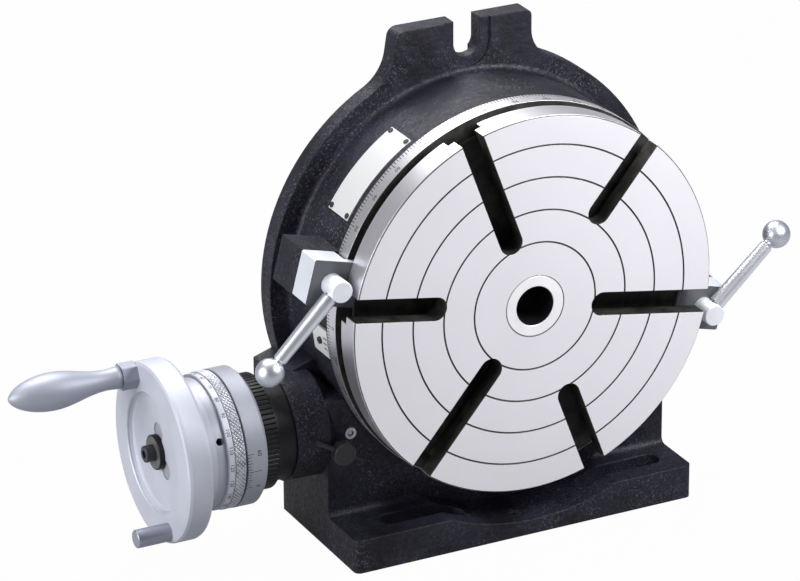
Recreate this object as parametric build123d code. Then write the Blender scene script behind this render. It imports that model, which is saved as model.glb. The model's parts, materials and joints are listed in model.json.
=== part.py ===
from build123d import *

import math
import os

# Horizontal vertical rotary table, 300 mm, standing on its foot with the table face upright.
# Millimetres, +Z up. The table axis runs along Y and the table face looks along -Y.
# The origin is on the underside of the foot, straight below the table axis, in the middle
# plane of the worm wheel. The handwheel is on the -X side.

# general clearances
fit_gap = 0.02             # between pieces that are fixed to each other on a round seat
run_gap = 0.05             # radial, between a shaft and the bore it turns in
face_gap = 0.3             # between faces that pass each other

# table
table_radius = 150.0
center_height = 187.0
face_to_worm = 80.0        # table face to the middle plane of the worm wheel
rim_depth = 21.0
clamp_groove_width = 7.0
clamp_groove_radius = table_radius - 12
flange_radius = table_radius + 1.5
flange_depth = 14.0        # the graduated flange that the clamps hold down
edge_chamfer = 1.0
slot_width = 18.0
slot_head_width = 29.0
slot_throat = 13.5
slot_depth = 25.0
slot_chamfer = 0.4
long_slot_start = 49.0     # radius where the long slots end
short_slot_start = 75.0
slot_turn = -9.7           # degrees, how far the table stands turned in the photograph
ring_radii = (50.8, 76.2, 101.6, 127.0)
ring_width = 1.3
ring_deep = 0.7

# spindle, centre sleeve and worm wheel
hub_radius = 60.0
hub_screw_count = 6
hub_screw_circle = 47.5
hub_screw_head = 6.5
hub_screw_head_depth = 8.0
spigot_depth = 4.0         # of the spindle, in the back of the table
journal_radius = 40.0
thread_radius = 36.0
taper_sleeve_radius = 24.2
taper_sleeve_length = 96.0
taper_sleeve_chamfer = 0.6
taper_mouth_radius = 15.63   # 31.27 mm, Morse taper 4
taper_rate = 1 / 19.254
draw_hole_radius = 13.2
bush_wall = 5.0
nut_radius = 50.0
nut_depth = 6.5
nut_slot_width = 8.0
nut_slot_depth = 4.0
wheel_face = 20.0
wheel_screw_count = 6
wheel_screw_circle = 51.0
wheel_screw_head = 6.4
wheel_screw_head_room = 0.8
wheel_screw_head_depth = 8.0
wheel_screw_sink = 9.0
wheel_screw_grip = 14.0    # length in the spindle
screw_m8 = 4.0             # radius of an M8 thread

# worm gear
gear_module = 1.75
wheel_teeth = 90
worm_pitch_radius = 14.25
pressure_angle = math.radians(20)
flank_gap = 0.16           # half of the backlash, taken from each flank of the worm thread
root_clearance = 0.25      # in modules
worm_length = 54.0
worm_shoulder = 4.0
shaft_radius = 11.0

# places that the gear gives
pitch_radius = gear_module * wheel_teeth / 2
worm_z = center_height - pitch_radius - worm_pitch_radius

# base casting
foot_left = table_radius + 1
foot_right = table_radius - 13.5
foot_height = 27.0
foot_front = 82.0          # foot front face, ahead of the worm wheel plane
wall_front = 35.0          # front wall of the body block, ahead of the same plane
base_back = 44.0           # rear seating face, behind it
hollow_floor = 12.0        # least thickness of the foot under the table
foot_slot_width = 17.0
foot_slot_length = 72.0
foot_slot_pitch = 168.0
foot_slot_front = 58.0
foot_corner = 5.0
wall_root = 5.0
drum_radius = flange_radius - 1.5
drum_root = 4.0
plate_radius = drum_radius + 16.5
plate_thickness = 16.0
lug_top = plate_radius + 24      # above the table axis
lug_left_top = 59.0
lug_left_low = 67.0
lug_left_foot = 140.0            # height above the table axis where lug_left_low is measured
lug_right = 54.0
lug_left_root = 36.0
lug_right_root = 24.0
lug_left_corner = 8.0
lug_right_corner = 5.0
lug_slot_width = 22.0
lug_slot_bottom = plate_radius - 4.8   # above the table axis
lug_seat_width = 39.0
lug_seat_depth = 2.0
wheel_room = 86.0
web_thickness = 20.0
web_front = 16.0
nut_room = 60.0
block_right_top = center_height - 65
shoulder_out = foot_left + 23    # rear slab beside the worm housing
shoulder_low = worm_z + 38.5
shoulder_high = worm_z + 48
shoulder_in = foot_left - 6
key_way_width = 16.0       # for a locating key, in the rear seating face
key_way_depth = 5.0

# worm housing and eccentric sleeve, all along -X from the table axis
housing_end = foot_left + 27
housing_radius = 42.0
sleeve_throw = 5.0         # sleeve axis behind the worm axis
sleeve_radius = 30.0
sleeve_end = 80.0          # toward +X
neck_radius = 40.0
neck_end = housing_end + 15
grip_radius = 44.5
grip_ribs = 72
grip_rib_depth = 0.8
grip_rib_margin = 1.5
worm_room_radius = 17.0
window_half = 56.0
journal_bush_length = 22.0
journal_bush_inset = 4.0
window_tilt = 67.5         # degrees, the way the window opens at rest

# dial, vernier and handwheel
vernier_start = neck_end + 14
dial_start = vernier_start + 18
hub_start = dial_start + 14.5
collar_joint = hub_start + 7.5
wheel_back = hub_start + 18.8
wheel_front = wheel_back + 20.2
vernier_radius = 52.8
vernier_bevel = 2.5
spigot_radius = 38.0       # of the sleeve, inside the vernier ring
dial_radius = 51.7
dial_gap = 0.9             # between the dial and the vernier ring
knurl_width = 9.0
knurl_rise = 0.3
edge_round = 0.4
dial_seat_radius = 44.0
hub_collar_radius = 49.5
handwheel_radius = 69.0
dish_radius = 46.0
dish_depth = 5.3
dish_corner = 4.0
pit_count = 3
pit_radius = 7.5
pit_circle = 16.5
pit_depth = 0.8
pit_turn = 95.0
rim_round = 3.0
grip_circle = 59.7
grip_angle = 62.3          # degrees, from +Y toward +Z about the worm axis
pin_radius = 5.0
pin_head_radius = 6.6
pin_head_length = 5.0
pin_seat = 13.0
collar_flats = 18.6
collar_length = 12.0
collar_corner = 1.1
grip_tip = 100.7           # end of the handle, ahead of the wheel
grip_end_wall = 14.0
grip_mouth_radius = 9.4
grip_mouth_chamfer = 1.0
grip_shape = ((0.16, 7.8), (0.42, 12.5), (0.61, 14.3), (0.80, 11.7), (0.93, 6.9))
balance_pin_radius = 7.0
balance_pin_length = 27.0
balance_pin_seat = 9.0
center_screw_head = 6.4
center_screw_height = 7.4
center_washer_radius = 13.4
center_washer_thick = 4.0
socket_radius = 3.4        # hexagon sockets, to the corners
socket_depth = 4.0
set_screw_radius = 2.9
set_screw_turn = 156.0
set_screw_length = 14.0
set_screw_sink = 4.0
key_half_width = 3.0
key_rise = 2.4
key_sink = 3.4

# clamps
clamp_angles = (165.3, -14.7)
clamp_names = ("left", "right")
lever_turns = (60.0, 57.0)   # degrees from the clamp radius to the lever
clamp_circle = flange_radius + 11
clamp_half = 17.5
clamp_outer = clamp_circle + clamp_half
clamp_tip = clamp_groove_radius + 2
clamp_heel = flange_radius + 2
clamp_lift = 0.5           # block front behind the rim
clamp_corner = 1.0
clamp_boss_front = 36.0
clamp_boss_depth = 33.0
stud_radius = 6.0
stud_seat = 22.0
nut_boss_radius = 8.3
nut_boss_length = 18.5
nut_boss_cap = 4.0
lever_length = 78.5
lever_rod_radius = 6.0
lever_root_radius = 4.6
lever_end_radius = 5.2
lever_neck_radius = 4.0
lever_neck_length = 1.6
lever_ball_radius = 10.8
lever_drop = 9.0           # rod axis behind the front end of the nut

# small pieces
lock_x = 8 - foot_left
lock_z = worm_z - 10.5
lock_head_radius = 9.2
lock_head_depth = 8.0
lock_neck = 7.5
lock_screw_radius = 5.0
lock_bar_radius = 1.9
lock_bar_length = 44.0
lock_bar_slide = 4.0       # how far the bar is pushed through, away from the table
lock_bar_tilt = 31.0
oiler_x = 19 - foot_left
oiler_z = worm_z - 1
oiler_radius = 4.0
oiler_rim = 0.6
oiler_hole_radius = 2.4
oiler_ball_radius = 1.6
oiler_depth = 7.0
plate_angles = (121.0, 150.0)
name_plate_front = 31.0
name_plate_width = 31.0
name_plate_thick = 0.8
rivet_radius = 1.3
rivet_head_radius = 2.2
rivet_head_rise = 0.7
rivet_inset = 3.0
index_angles = (182.6, 191.2)
index_front = 36.5
index_back = 12.0
index_thick = 1.6
drain_x = -9.6
drain_front = 66.0
drain_radius = 6.0
drain_length = 7.0

# places worked out from the sizes above
face_y = -face_to_worm
rim_back_y = face_y + rim_depth
flange_front_y = rim_back_y + clamp_groove_width
table_back_y = flange_front_y + flange_depth
drum_front_y = table_back_y + run_gap
plate_front_y = base_back - plate_thickness
web_back_y = web_front + web_thickness
relief_radius = center_height - hollow_floor
tip_radius = pitch_radius + gear_module
root_radius = pitch_radius - (1 + root_clearance) * gear_module
worm_tip = worm_pitch_radius + gear_module
worm_root = worm_pitch_radius - (1 + root_clearance) * gear_module
worm_pitch = math.pi * gear_module
lead_slope = worm_pitch / (2 * math.pi * worm_pitch_radius)
block_front_y = rim_back_y + clamp_lift
boss_front_y = -clamp_boss_front
block_back_y = boss_front_y - face_gap
dish_x = -(wheel_front - dish_depth)
shaft_end_x = dish_x + 1.5
lever_front_y = block_front_y - nut_boss_length
lug_slot_middle = lug_slot_bottom + lug_slot_width / 2

to_table = Pos(0, 0, center_height)
to_worm = Pos(0, 0, worm_z)
to_sleeve = Pos(0, sleeve_throw, worm_z)


def disc_y(radius, y0, y1, x=0.0, z=0.0):
    """Round bar along Y between two planes."""
    return Pos(x, (y0 + y1) / 2, z) * Rot(90, 0, 0) * Cylinder(radius, y1 - y0)


def disc_x(radius, x0, x1, y=0.0, z=0.0):
    """Round bar along X between two planes."""
    return Pos((x0 + x1) / 2, y, z) * Rot(0, 90, 0) * Cylinder(radius, x1 - x0)


def block(x0, x1, y0, y1, z0, z1):
    """Box between two corners."""
    return Pos((x0 + x1) / 2, (y0 + y1) / 2, (z0 + z1) / 2) * Box(x1 - x0, y1 - y0, z1 - z0)


def slab_y(sketch, y0, y1):
    """A sketch drawn in X and Z, thickened between two planes across Y."""
    return extrude(Plane.XZ.offset(-y1) * sketch, amount=y1 - y0)


def slab_x(sketch, x0, x1):
    """A sketch drawn in Y and Z, thickened between two planes across X."""
    return extrude(Plane.YZ.offset(x0) * sketch, amount=x1 - x0)


def turned_y(points):
    """Solid of revolution about Y from (radius, y) points."""
    return revolve(make_face(Polyline(*points, close=True)), Axis.Y)


def turned_x(points):
    """Solid of revolution about X from (x, radius) points."""
    return revolve(make_face(Polyline(*points, close=True)), Axis.X)


def around_y(angle):
    """Turn about the table axis that takes +X to the given angle, seen from the front."""
    return Rot(0, -angle, 0)


def save(name, shape):
    """Write one piece as parts/NAME.step."""
    shape.label = name
    export_step(shape, f"parts/{name}.step")


def group(solids):
    """Separate solids kept together in one piece file."""
    return Compound(children=[part.solid() if hasattr(part, "solid") else part for part in solids])


def table_slot(start):
    """One T-slot along +X, with a round inner end, from the face to its floor."""
    neck_y, floor_y = face_y + slot_throat, face_y + slot_depth
    throat, head = slot_width / 2, slot_head_width / 2
    half = [(0, face_y - 1), (throat + slot_chamfer + 1, face_y - 1), (throat, face_y + slot_chamfer),
            (throat, neck_y), (head, neck_y), (head, floor_y), (0, floor_y)]
    side = half[1:-1]
    profile = [(y, z) for z, y in side] + [(y, -z) for z, y in reversed(side)]
    end_x = start + throat
    straight = slab_x(make_face(Polyline(*profile, close=True)), end_x, table_radius + 20)
    return straight + Pos(end_x, 0, 0) * turned_y(half)


def make_table_disc():
    """Table with its rim, clamp groove and graduated flange."""
    points = [
        (taper_sleeve_radius + fit_gap, face_y),
        (table_radius - edge_chamfer, face_y),
        (table_radius, face_y + edge_chamfer),
        (table_radius, rim_back_y),
        (clamp_groove_radius, rim_back_y),
        (clamp_groove_radius, flange_front_y),
        (flange_radius, flange_front_y),
        (flange_radius, table_back_y),
        (hub_radius - spigot_depth, table_back_y),
        (hub_radius - spigot_depth, table_back_y - spigot_depth),
        (taper_sleeve_radius + fit_gap, table_back_y - spigot_depth),
    ]
    disc = turned_y(points)
    for radius in ring_radii:
        low, high = radius - ring_width / 2, radius + ring_width / 2
        disc -= turned_y([(low, face_y - 1), (high, face_y - 1), (high, face_y),
                          (radius, face_y + ring_deep), (low, face_y)])
    for number in range(3):
        for start, turn in ((long_slot_start, 0), (short_slot_start, 60)):
            disc -= around_y(slot_turn + turn + 120 * number) * table_slot(start)
    for spot in hub_screw_spots():
        disc -= spot * disc_y(screw_m8 + fit_gap, table_back_y - spigot_depth - 8, table_back_y)
    return to_table * disc


def make_spindle():
    """Hub and journal behind the table, with a spigot that centres them in its back."""
    end_y = web_back_y + nut_depth
    spigot_y = table_back_y - spigot_depth + fit_gap
    points = [
        (taper_sleeve_radius + fit_gap, spigot_y),
        (hub_radius - spigot_depth - fit_gap, spigot_y),
        (hub_radius - spigot_depth - fit_gap, table_back_y + fit_gap),
        (hub_radius, table_back_y + fit_gap),
        (hub_radius, -wheel_face / 2),
        (journal_radius, -wheel_face / 2),
        (journal_radius, web_back_y),
        (thread_radius, web_back_y),
        (thread_radius, end_y),
        (draw_hole_radius, end_y),
        (draw_hole_radius, face_y + taper_sleeve_length),
        (taper_sleeve_radius + fit_gap, face_y + taper_sleeve_length),
    ]
    spindle = turned_y(points)
    for spot in wheel_screw_spots():
        spindle -= spot * disc_y(screw_m8 + fit_gap, -wheel_face / 2 - wheel_screw_grip - 2, 0)
    for spot in hub_screw_spots():
        spindle -= spot * disc_y(screw_m8 + fit_gap, spigot_y - 1, 0)
        spindle -= spot * disc_y(hub_screw_head + fit_gap, -wheel_face / 2 - hub_screw_head_depth, 0)
    return to_table * spindle


def wheel_screw_spots():
    """Places of the worm wheel's screws."""
    step = 360 / wheel_screw_count
    return [around_y(step * (number + 0.5)) * Pos(wheel_screw_circle, 0, 0)
            for number in range(wheel_screw_count)]


def hub_screw_spots():
    """Places of the screws between spindle and table."""
    step = 360 / hub_screw_count
    return [around_y(step * number) * Pos(hub_screw_circle, 0, 0) for number in range(hub_screw_count)]


def make_hub_screws():
    """Cap screws that hold the spindle to the table, sunk in the hub under the worm wheel."""
    seat_y = -wheel_face / 2 - hub_screw_head_depth
    screw = disc_y(screw_m8, table_back_y - spigot_depth - 7, seat_y)
    screw += disc_y(hub_screw_head, seat_y, seat_y + hub_screw_head_depth - face_gap)
    screw -= disc_y(socket_radius, seat_y + socket_depth, 0)
    return group([to_table * spot * screw for spot in hub_screw_spots()])


def make_taper_sleeve():
    """Hardened centre sleeve with the taper bore."""
    back_y = face_y + taper_sleeve_length
    back_radius = taper_mouth_radius - taper_sleeve_length * taper_rate / 2
    return to_table * turned_y([
        (taper_mouth_radius, face_y + edge_round),
        (taper_mouth_radius + edge_round, face_y),
        (taper_sleeve_radius - taper_sleeve_chamfer, face_y),
        (taper_sleeve_radius, face_y + taper_sleeve_chamfer),
        (taper_sleeve_radius, back_y),
        (back_radius, back_y),
    ])


def tooth_half_angle(radius):
    """Half of a wheel tooth's angle at a radius, from the involute."""
    base = pitch_radius * math.cos(pressure_angle)
    here = math.acos(base / radius)
    swell = math.tan(pressure_angle) - pressure_angle - (math.tan(here) - here)
    return math.pi / (2 * wheel_teeth) + swell


def wheel_outline(turn):
    """Outline of all the wheel's teeth, turned by a small angle."""
    points = []
    step = 2 * math.pi / wheel_teeth
    tip, root = tooth_half_angle(tip_radius), tooth_half_angle(root_radius)
    for number in range(wheel_teeth):
        middle = number * step + turn
        corners = ((root_radius, -root), (tip_radius, -tip), (tip_radius, tip), (root_radius, root))
        for radius, angle in corners:
            points.append((radius * math.cos(middle + angle), radius * math.sin(middle + angle)))
    return Polyline(*points, close=True)


def make_worm_wheel():
    """Bronze wheel with 90 slanted teeth, ruled from one face to the other."""
    slant = lead_slope * wheel_face / 2 / pitch_radius
    front = make_face(Plane.XZ.offset(wheel_face / 2) * wheel_outline(slant))
    back = make_face(Plane.XZ.offset(-wheel_face / 2) * wheel_outline(-slant))
    wheel = loft([front, back], ruled=True)
    wheel -= disc_y(journal_radius + fit_gap, -wheel_face, wheel_face)
    for spot in wheel_screw_spots():
        wheel -= spot * disc_y(screw_m8 + face_gap, -wheel_face, wheel_face)
        wheel -= spot * disc_y(wheel_screw_head + wheel_screw_head_room, wheel_face / 2 - wheel_screw_sink,
                               wheel_face)
    return to_table * wheel


def make_wheel_screws():
    """Cap screws that hold the worm wheel to the spindle."""
    seat_y = wheel_face / 2 - wheel_screw_sink
    screw = disc_y(screw_m8, -wheel_face / 2 - wheel_screw_grip, seat_y)
    screw += disc_y(wheel_screw_head, seat_y, seat_y + wheel_screw_head_depth)
    screw -= disc_y(socket_radius, seat_y + socket_depth, wheel_face)
    return group([to_table * spot * screw for spot in wheel_screw_spots()])


def make_spindle_nut():
    """Slotted round nut that holds the spindle in the web."""
    front_y = web_back_y + face_gap
    nut = disc_y(nut_radius, front_y, front_y + nut_depth - face_gap)
    nut -= disc_y(thread_radius + fit_gap, front_y - 1, base_back)
    for number in range(4):
        spot = around_y(90 * number + 45)
        nut -= spot * block(nut_radius - nut_slot_depth, nut_radius + 1, front_y - 1, base_back,
                            -nut_slot_width / 2, nut_slot_width / 2)
    return to_table * nut


def make_spindle_bush():
    """Bronze bush pressed into the web."""
    bush = disc_y(journal_radius + bush_wall, web_front, web_back_y)
    return to_table * (bush - disc_y(journal_radius + run_gap, 0, base_back))


def body_outline():
    """Rear plate seen from the front: round top, lug with its open slot, and straight sides."""
    ring = Pos(0, center_height) * Circle(plate_radius)
    left_slope = (lug_left_low - lug_left_top) / (lug_top - lug_left_foot)
    left_low = lug_left_top + left_slope * lug_top
    top_z = center_height + lug_top
    lug = make_face(Polyline((-left_low, center_height), (-lug_left_top, top_z), (lug_right, top_z),
                             (lug_right, center_height), close=True))
    top = ring + lug
    for side, root, corner in ((-1, lug_left_root, lug_left_corner), (1, lug_right_root, lug_right_corner)):
        ends = [v for v in top.vertices() if v.Y > top_z - 0.1 and v.X * side > 0]
        top = fillet(ends, corner)
        roots = [v for v in top.vertices() if side * v.X > lug_right - 1
                 and center_height + plate_radius / 2 < v.Y < center_height + plate_radius - 1]
        top = fillet(roots, root)
    low = make_face(Polyline((-foot_left, 0), (foot_right, 0), (foot_right, block_right_top),
                             (-foot_left, block_right_top), close=True))
    return top + low - lug_notch(lug_slot_width)


def lug_notch(width):
    """Open slot with a round bottom, about the middle of the lug's bolt."""
    notch_z = center_height + lug_slot_middle
    return Pos(0, notch_z) * Circle(width / 2) + Pos(0, notch_z + lug_top / 2) * Rectangle(width, lug_top)


def make_base_casting():
    """The angle-shaped body: rear plate, drum, block, foot, worm housing and clamp bosses."""
    body = slab_y(body_outline(), plate_front_y, base_back)
    body += to_table * disc_y(drum_radius, drum_front_y, base_back)
    body += to_table * (disc_y(drum_radius + drum_root, plate_front_y - drum_root, plate_front_y)
                        - drum_root_round())
    body += block(-foot_left, foot_right, -wall_front, base_back, 0, block_right_top)
    body += make_foot()
    body += worm_housing()
    for angle in clamp_angles:
        boss = block(drum_radius - 25, clamp_outer, boss_front_y, boss_front_y + clamp_boss_depth,
                     -clamp_half, clamp_half)
        body += to_table * around_y(angle) * boss
    return body - casting_cuts()


def make_foot():
    """Foot in front of the wall, with its fillet and the hollow that clears large work."""
    foot = block(-foot_left, foot_right, -foot_front, -wall_front + 1, 0, foot_height)
    foot = fillet(foot.edges().filter_by(Axis.Z).group_by(Axis.Y)[0], foot_corner)
    foot += wall_fillet()
    return foot - to_table * disc_y(relief_radius, -foot_front - 1, -wall_front)


def worm_housing():
    """Round housing about the worm that runs into the wall, squared off at the back."""
    run_out = housing_radius - wall_front + 2
    housing = disc_x(housing_radius, -housing_end, -foot_left, z=worm_z)
    housing += Pos(-foot_left + run_out / 2, 0, worm_z) * Rot(0, 90, 0) * Cone(
        housing_radius, housing_radius - run_out, run_out)
    shoulder = make_face(Polyline((-shoulder_out, worm_z - housing_radius), (-shoulder_out, shoulder_low),
                                  (-shoulder_in, shoulder_high), (0, shoulder_high),
                                  (0, worm_z - housing_radius), close=True))
    return housing + slab_y(shoulder, 0, base_back)


def drum_root_round():
    """Round groove that turns the ring at the drum's foot into a fillet."""
    ring = Rot(90, 0, 0) * Torus(drum_radius + drum_root, drum_root)
    return Pos(0, plate_front_y - drum_root, 0) * ring


def wall_fillet():
    """Fillet where the front wall stands on the foot."""
    low, front = foot_height, -wall_front
    bar = block(-foot_left, foot_right, front - wall_root, front + 1, low - 1, low + wall_root)
    return bar - disc_x(wall_root, -foot_left - 1, foot_right + 1, y=front - wall_root, z=low + wall_root)


def casting_cuts():
    """Rooms, bores, slots and tapped holes of the casting."""
    cuts = to_table * disc_y(wheel_room, drum_front_y - 1, web_front)
    cuts += to_table * disc_y(journal_radius + bush_wall + fit_gap, 0, base_back)
    cuts += to_table * disc_y(nut_room, web_back_y, base_back + 1)
    cuts += to_sleeve * disc_x(sleeve_radius + run_gap, -housing_end - 1, sleeve_end + 2)
    for side in (-1, 1):
        slot = SlotOverall(foot_slot_length, foot_slot_width)
        slot = Pos(side * foot_slot_pitch / 2, -foot_slot_front) * slot
        cuts += extrude(Plane.XY.offset(-1) * slot, amount=foot_height + 2)
    cuts += block(-key_way_width / 2, key_way_width / 2, base_back - key_way_depth, base_back + 1,
                  center_height, center_height + lug_top)
    cuts += slab_y(lug_notch(lug_seat_width), plate_front_y - 1, plate_front_y + lug_seat_depth)
    for angle in clamp_angles:
        hole = disc_y(stud_radius + fit_gap, boss_front_y - 1, boss_front_y + stud_seat, x=clamp_circle)
        cuts += to_table * around_y(angle) * hole
    cuts += disc_y(lock_screw_radius + run_gap, -housing_radius - 1, 0, x=lock_x, z=lock_z)
    cuts += disc_y(oiler_radius + fit_gap, -wall_front - 1, -wall_front + 8, x=oiler_x, z=oiler_z)
    cuts += drain_place() * Cylinder(drain_radius + fit_gap, 18)
    return cuts


def drain_place():
    """Where the drain plug sits, in the hollow of the foot beside the middle."""
    floor_z = center_height - math.sqrt(relief_radius ** 2 - drain_x ** 2)
    return Pos(drain_x, -drain_front, floor_z)


def make_eccentric_sleeve():
    """Sleeve that carries the worm off its own axis, with a ribbed grip and a window for the wheel."""
    sleeve = to_sleeve * disc_x(sleeve_radius, -neck_end, sleeve_end)
    opening = Pos(0, 0, sleeve_radius) * Box(2 * window_half, 4 * sleeve_radius, 2 * sleeve_radius)
    sleeve -= to_sleeve * Rot(window_tilt - 90, 0, 0) * opening
    sleeve += to_worm * disc_x(neck_radius, -neck_end, -housing_end - face_gap)
    sleeve += to_worm * ribbed_grip()
    sleeve += to_worm * disc_x(spigot_radius, -dial_start + dial_gap, -vernier_start)
    return sleeve - to_worm * disc_x(worm_room_radius, -dial_start - 1, sleeve_end + 1)


def ribbed_grip():
    """Grip with straight ribs, by which the sleeve is turned."""
    grip = disc_x(grip_radius, -vernier_start, -neck_end)
    middle_x = -(vernier_start + neck_end) / 2
    for number in range(grip_ribs):
        notch = Box(vernier_start - neck_end - 2 * grip_rib_margin, grip_rib_depth * 1.4, grip_rib_depth * 1.4)
        grip -= Rot(360 / grip_ribs * number, 0, 0) * Pos(middle_x, grip_radius, 0) * Rot(45, 0, 0) * notch
    return grip


def make_journal_bushes():
    """Two bronze bushes for the worm shaft, one at each end of the sleeve."""
    bushes = []
    for start in (-vernier_start + journal_bush_inset, sleeve_end - journal_bush_length - 1):
        bush = disc_x(worm_room_radius - fit_gap, start, start + journal_bush_length)
        bush -= disc_x(shaft_radius + run_gap, start - 1, start + journal_bush_length + 1)
        bushes.append(to_worm * bush)
    return group(bushes)


def make_vernier_ring():
    """Fixed ring beside the dial, with the vernier scale."""
    front, back, bevel = -dial_start + dial_gap, -vernier_start, vernier_bevel
    return to_worm * turned_x([
        (front, spigot_radius + fit_gap),
        (front, vernier_radius - edge_round),
        (front + edge_round, vernier_radius),
        (back - bevel, vernier_radius),
        (back, vernier_radius - bevel),
        (back, spigot_radius + fit_gap),
    ])


def worm_thread():
    """The worm's single right-hand thread, a true helix with straight flanks."""
    slope = math.tan(pressure_angle)
    foot = worm_root - 0.3
    half_tip = worm_pitch / 4 - gear_module * slope - flank_gap
    half_foot = worm_pitch / 4 + (worm_pitch_radius - foot) * slope - flank_gap
    turns = round((worm_length - worm_pitch) / worm_pitch)
    length = turns * worm_pitch
    path = Helix(pitch=worm_pitch, height=length, radius=foot)
    section = Plane.XZ * make_face(Polyline((foot, -half_foot), (worm_tip, -half_tip), (worm_tip, half_tip),
                                            (foot, half_foot), close=True))
    thread = sweep(section, path=path, is_frenet=True)
    top_turn = 180 if turns % 2 == 0 else 0
    return Pos(-length / 2, 0, 0) * Rot(top_turn, 0, 0) * Rot(0, 90, 0) * thread


def make_worm_shaft():
    """Shaft with the worm cut on it, a thrust collar and the seat for the handwheel."""
    shaft = disc_x(shaft_radius, shaft_end_x, sleeve_end - 1)
    shaft += disc_x(worm_root, -worm_length / 2 - worm_shoulder, worm_length / 2 + worm_shoulder)
    shaft += worm_thread()
    shaft -= disc_x(screw_m8 + fit_gap, shaft_end_x - 1, shaft_end_x + 22)
    shaft -= block(-wheel_back + 1, -hub_start + 4, -key_half_width, key_half_width,
                   shaft_radius - key_sink - fit_gap, shaft_radius + 1)
    return to_worm * shaft


def make_shaft_key():
    """Key that drives the shaft from the handwheel hub and the dial hub."""
    half = key_half_width - fit_gap
    key = block(-wheel_back + 1 + face_gap, -hub_start + 4 - face_gap, -half, half,
                shaft_radius - key_sink, shaft_radius + key_rise)
    return to_worm * key


def hub_bore(x0, x1, key_x):
    """Shaft bore with its keyway, for the pieces fixed on the worm shaft."""
    key_top = shaft_radius + key_rise + fit_gap
    key_room = block(key_x, x1, -key_half_width, key_half_width, 0, key_top)
    return disc_x(shaft_radius + fit_gap, x0, x1) + key_room


def make_dial_hub():
    """Collar behind the handwheel that carries the dial."""
    hub = disc_x(hub_collar_radius, -collar_joint, -hub_start)
    hub += disc_x(dial_seat_radius, -hub_start, -dial_start - face_gap)
    hub -= hub_bore(-collar_joint - 1, -dial_start, -collar_joint - 1)
    hole_x = -(collar_joint + hub_start) / 2
    reach = hub_collar_radius - set_screw_sink - set_screw_length
    screw_way = Pos(hole_x, 0, 0) * Rot(set_screw_turn, 0, 0)
    hub -= screw_way * disc_y(set_screw_radius, reach, hub_collar_radius + 1)
    return to_worm * hub


def make_dial_set_screw():
    """Socket set screw in the dial hub."""
    hole_x = -(collar_joint + hub_start) / 2
    top = hub_collar_radius - set_screw_sink
    screw = disc_y(set_screw_radius - fit_gap, top - set_screw_length + face_gap, top)
    screw -= disc_y(set_screw_radius / 2, top - set_screw_length / 4, top + 1)
    return to_worm * Pos(hole_x, 0, 0) * Rot(set_screw_turn, 0, 0) * screw


def make_dial_ring():
    """Graduated dial, with a knurled band beside the vernier."""
    front, back = -hub_start + run_gap * 2, -dial_start
    knurl = back - knurl_width
    return to_worm * turned_x([
        (front, dial_seat_radius + run_gap),
        (front, dial_radius - edge_round),
        (front + edge_round, dial_radius),
        (knurl, dial_radius),
        (knurl + knurl_rise, dial_radius + knurl_rise),
        (back - knurl_rise - edge_round, dial_radius + knurl_rise),
        (back, dial_radius - edge_round),
        (back, dial_seat_radius + run_gap),
    ])


def grip_place():
    """Where the handle's axis crosses the plane of the worm axis."""
    return Rot(grip_angle, 0, 0) * Pos(0, grip_circle, 0)


def make_handwheel():
    """Dished handwheel with a heavy rim and a hub that covers the dial collar."""
    front, back = -wheel_front, -wheel_back
    wheel = turned_x([
        (dish_x, shaft_radius - 6),
        (dish_x, dish_radius - dish_corner),
        (dish_x - dish_corner * 0.3, dish_radius - dish_corner * 0.3),
        (dish_x - dish_corner * 0.8, dish_radius - edge_round / 2),
        (front + 0.8, dish_radius),
        (front, dish_radius + 0.8),
        (front, handwheel_radius - rim_round),
        (front + 0.9, handwheel_radius - 0.9),
        (front + rim_round, handwheel_radius),
        (back - rim_round, handwheel_radius),
        (back - 0.9, handwheel_radius - 0.9),
        (back, handwheel_radius - rim_round),
        (back, hub_collar_radius + 1.5),
        (back + 1.5, hub_collar_radius),
        (-collar_joint, hub_collar_radius),
        (-collar_joint, shaft_radius - 6),
    ])
    wheel -= hub_bore(front, -collar_joint + 1, -wheel_back + 1)
    wheel -= grip_place() * disc_x(pin_radius + fit_gap, front - 1, front + pin_seat + 1)
    wheel -= Rot(180, 0, 0) * grip_place() * disc_x(balance_pin_radius + fit_gap, front - 1,
                                                    front + balance_pin_seat)
    for number in range(pit_count):
        spot = Rot(pit_turn + 360 / pit_count * number, 0, 0) * Pos(0, pit_circle, 0)
        wheel -= spot * disc_x(pit_radius, front - 1, dish_x + pit_depth)
    return to_worm * wheel


def make_center_screw():
    """Cap screw at the middle of the handwheel."""
    seat = dish_x - center_washer_thick
    screw = disc_x(center_screw_head, seat - center_screw_height, seat)
    screw = fillet(screw.edges().group_by(Axis.X)[0], 0.8)
    screw += disc_x(screw_m8, seat, shaft_end_x + 18)
    socket = RegularPolygon(socket_radius, 6)
    screw -= slab_x(socket, seat - center_screw_height - 1, seat - center_screw_height + socket_depth)
    return to_worm * screw


def make_center_washer():
    """Thick washer under the cap screw."""
    washer = disc_x(center_washer_radius, dish_x - center_washer_thick, dish_x)
    washer = fillet(washer.edges().group_by(Axis.X)[0], 0.6)
    return to_worm * (washer - disc_x(screw_m8 + 0.4, -wheel_front - 20, 0))


def make_handle_pin():
    """Fixed pin of the revolving handle, with a flatted collar on the rim."""
    front = -wheel_front
    head_x = front - grip_tip + grip_end_wall + face_gap
    shoulder_x = head_x + pin_head_length
    pin = disc_x(pin_radius, shoulder_x, front + pin_seat)
    collar = slab_x(RegularPolygon(collar_flats / 2, 6, major_radius=False), front - collar_length, front)
    collar &= disc_x(collar_flats / 2 + collar_corner, front - collar_length, front)
    pin += collar
    pin += disc_x(pin_head_radius, head_x, shoulder_x)
    return to_worm * grip_place() * pin


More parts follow.
